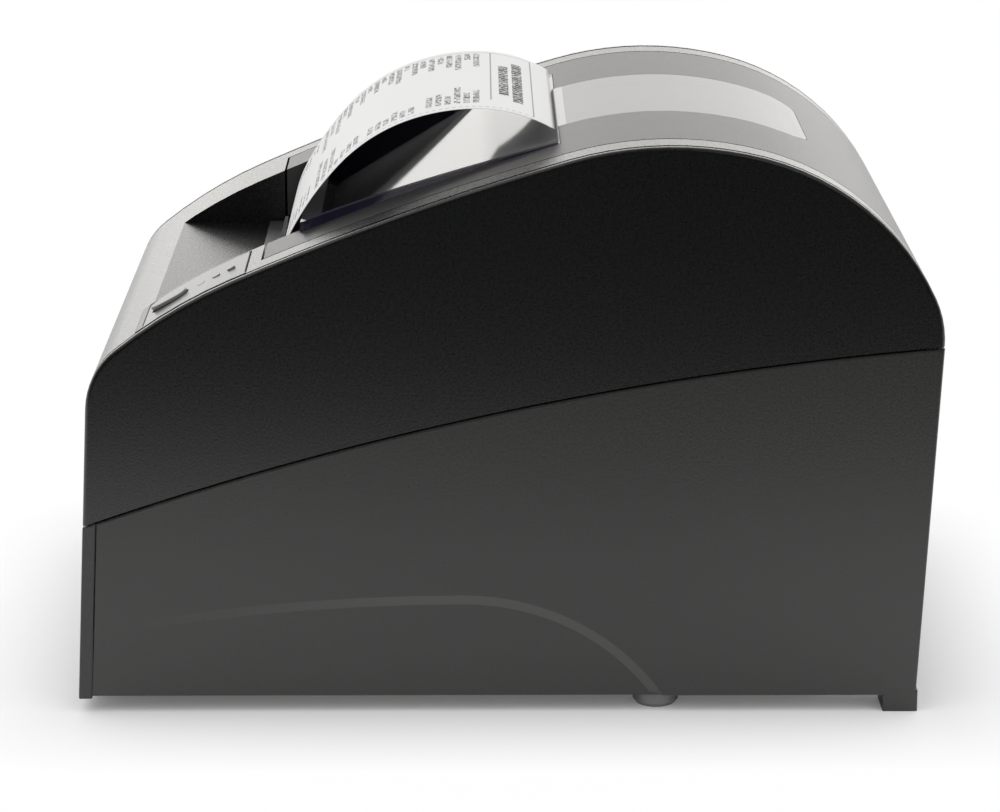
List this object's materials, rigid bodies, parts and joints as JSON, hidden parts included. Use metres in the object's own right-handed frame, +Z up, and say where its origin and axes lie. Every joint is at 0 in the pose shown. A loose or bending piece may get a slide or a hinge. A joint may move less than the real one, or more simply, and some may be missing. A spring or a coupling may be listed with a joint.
{
  "type": "receipt printer",
  "caption": "Desktop thermal receipt printer with a hump-backed case, a hinged lid with a smoked paper tray, and its print mechanism, roll and sockets inside.",
  "frame": {"origin": "centre of the footprint at the bottom of the feet", "axes": "+Z up, -Y to the front where the paper comes out, +Y to the back with the sockets, X across the printer"},
  "size_m": [0.1423, 0.2048, 0.1414],
  "materials": {
    "case_grey": "fine grained",
    "case_black": "fine grained",
    "panel_grey": "satin",
    "rubber": "matte",
    "steel": "satin",
    "overlay_film": "satin printed film",
    "button": "satin",
    "lens": "clear tinted",
    "circuit_board": "lacquered",
    "black_moulding": "moulded",
    "lid_black": "satin",
    "smoked_clear": "polished, smoked",
    "white_moulding": "moulded",
    "ceramic_plate": "smooth",
    "aluminium": "satin",
    "brass": "machined",
    "bucket_grey": "moulded",
    "paper": "smooth thermal paper",
    "cardboard": "wound",
    "flat_cable": "flat cable"
  },
  "bodies": {
    "base": {"lower_case": "case_grey", "upper_case": "case_black", "front_panel": "panel_grey", "rubber_feet": "rubber", "case_screws": "steel", "control_overlay": "overlay_film", "led_lenses": "lens", "panel_board": "circuit_board", "tact_switch": "black_moulding", "hinge_pin": "steel", "mech_frame": "black_moulding", "mech_screws": "steel", "pivot_pin": "steel", "head_springs": "steel", "catch_springs": "steel", "step_motor": "aluminium", "idler_post": "steel", "tear_bar": "steel", "paper_bucket": "bucket_grey", "bucket_screws": "steel", "paper_web": "paper", "paper_sensor": "black_moulding", "main_board": "circuit_board", "board_screws": "steel", "board_parts": "black_moulding", "power_inlet": "black_moulding", "usb_socket": "steel", "drawer_socket": "black_moulding", "serial_socket": "steel", "jackscrews": "steel", "switch_body": "black_moulding", "head_flex": "flat_cable"},
    "lid": {"lid_cover": "lid_black", "lid_window": "smoked_clear", "platen_carrier": "black_moulding", "carrier_screws": "steel", "platen_bushes": "white_moulding", "receipt": "paper"},
    "platen": {"platen_shaft": "steel", "platen_rubber": "rubber", "platen_gear": "white_moulding"},
    "idler": {"idler_gear": "white_moulding"},
    "motor_rotor": {"motor_shaft": "steel", "motor_pinion": "brass"},
    "roll": {"paper_roll": "paper", "roll_core": "cardboard"},
    "head": {"print_head": "ceramic_plate", "head_heatsink": "aluminium"},
    "catch": {"catch_lever": "steel"},
    "button": {"feed_button": "button"},
    "rocker": {"switch_rocker": "button"}
  },
  "joints": [
    {"name": "lid_hinge", "type": "hinge", "parent": "base", "child": "lid", "pos_m": [0, 0.0978, 0.09948], "axis": [-1, 0, 0], "range_deg": [0, 85]},
    {"name": "roll_spin", "type": "hinge", "parent": "base", "child": "roll", "pos_m": [0, 0.0383, 0.076], "axis": [1, 0, 0], "continuous": true},
    {"name": "platen_spin", "type": "hinge", "parent": "lid", "child": "platen", "pos_m": [0, -0.0494, 0.08701], "axis": [1, 0, 0], "continuous": true},
    {"name": "idler_spin", "type": "hinge", "parent": "base", "child": "idler", "pos_m": [-0.048, -0.04533, 0.07183], "axis": [1, 0, 0], "continuous": true},
    {"name": "motor_spin", "type": "hinge", "parent": "base", "child": "motor_rotor", "pos_m": [-0.048, -0.04187, 0.05896], "axis": [1, 0, 0], "continuous": true},
    {"name": "head_pivot", "type": "hinge", "parent": "base", "child": "head", "pos_m": [0, -0.0582, 0.07501], "axis": [1, 0, 0], "range_deg": [0, 3], "stiffness_Nm_per_rad": 0.3, "springref_deg": -5.73, "deforming": ["head_springs"]},
    {"name": "catch_pivot", "type": "hinge", "parent": "base", "child": "catch", "pos_m": [0, -0.0582, 0.07501], "axis": [1, 0, 0], "range_deg": [0, 8], "stiffness_Nm_per_rad": 0.15, "springref_deg": -5.73, "deforming": ["catch_springs"]},
    {"name": "feed_button_push", "type": "slide", "parent": "base", "child": "button", "axis": [0, 0.4781, -0.8783], "range_m": [0, 0.0005], "stiffness_N_per_m": 400, "springref_m": -0.001},
    {"name": "power_rocker", "type": "hinge", "parent": "base", "child": "rocker", "pos_m": [-0.0678, -0.0685, 0.0282], "axis": [0, 1, 0], "range_deg": [-14, 0]}
  ],
  "couplings": [
    {"joint": "platen_spin", "follows": "roll_spin", "ratio": 7.2264},
    {"joint": "idler_spin", "follows": "roll_spin", "ratio": -4.5165},
    {"joint": "motor_spin", "follows": "roll_spin", "ratio": 12.044}
  ]
}
